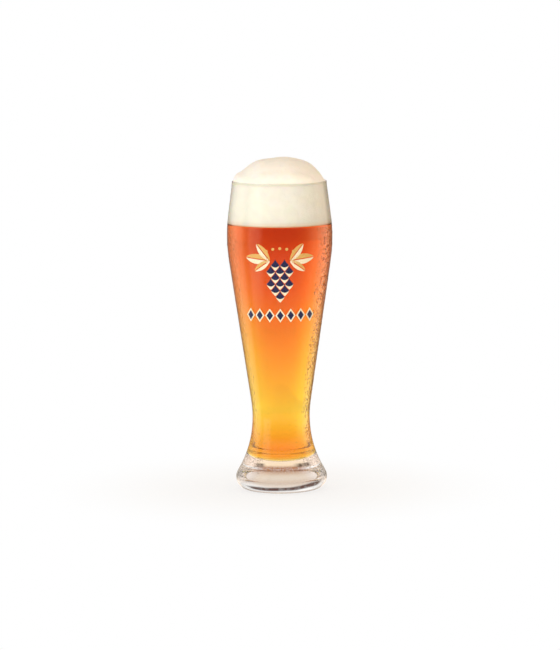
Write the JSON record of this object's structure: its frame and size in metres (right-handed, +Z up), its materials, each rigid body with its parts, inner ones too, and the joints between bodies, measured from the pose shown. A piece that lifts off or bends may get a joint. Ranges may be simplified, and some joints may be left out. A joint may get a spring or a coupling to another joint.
{
  "type": "weizen glass",
  "caption": "Tall waisted wheat beer glass with a heavy flared base, filled with amber beer under a domed head of foam, with an enamel hop and lozenge print.",
  "frame": {"origin": "centre of the foot, in the plane that the glass stands on", "axes": "+Z up along the glass's axis of revolution; the print faces -Y; +X to the right of the print"},
  "size_m": [0.0826, 0.0827, 0.262],
  "materials": {
    "clear_glass": "clear polished soda-lime glass",
    "amber_beer": "hazy translucent amber liquid",
    "beer_foam": "soft matt froth of fine bubbles",
    "navy_enamel": "fired glossy enamel",
    "cream_enamel": "fired glossy enamel",
    "gold_enamel": "fired satin gold enamel"
  },
  "bodies": {
    "root": {"glass": "clear_glass", "beer": "amber_beer", "foam_head": "beer_foam", "print_navy": "navy_enamel", "print_cream": "cream_enamel", "print_gold": "gold_enamel"}
  },
  "joints": []
}
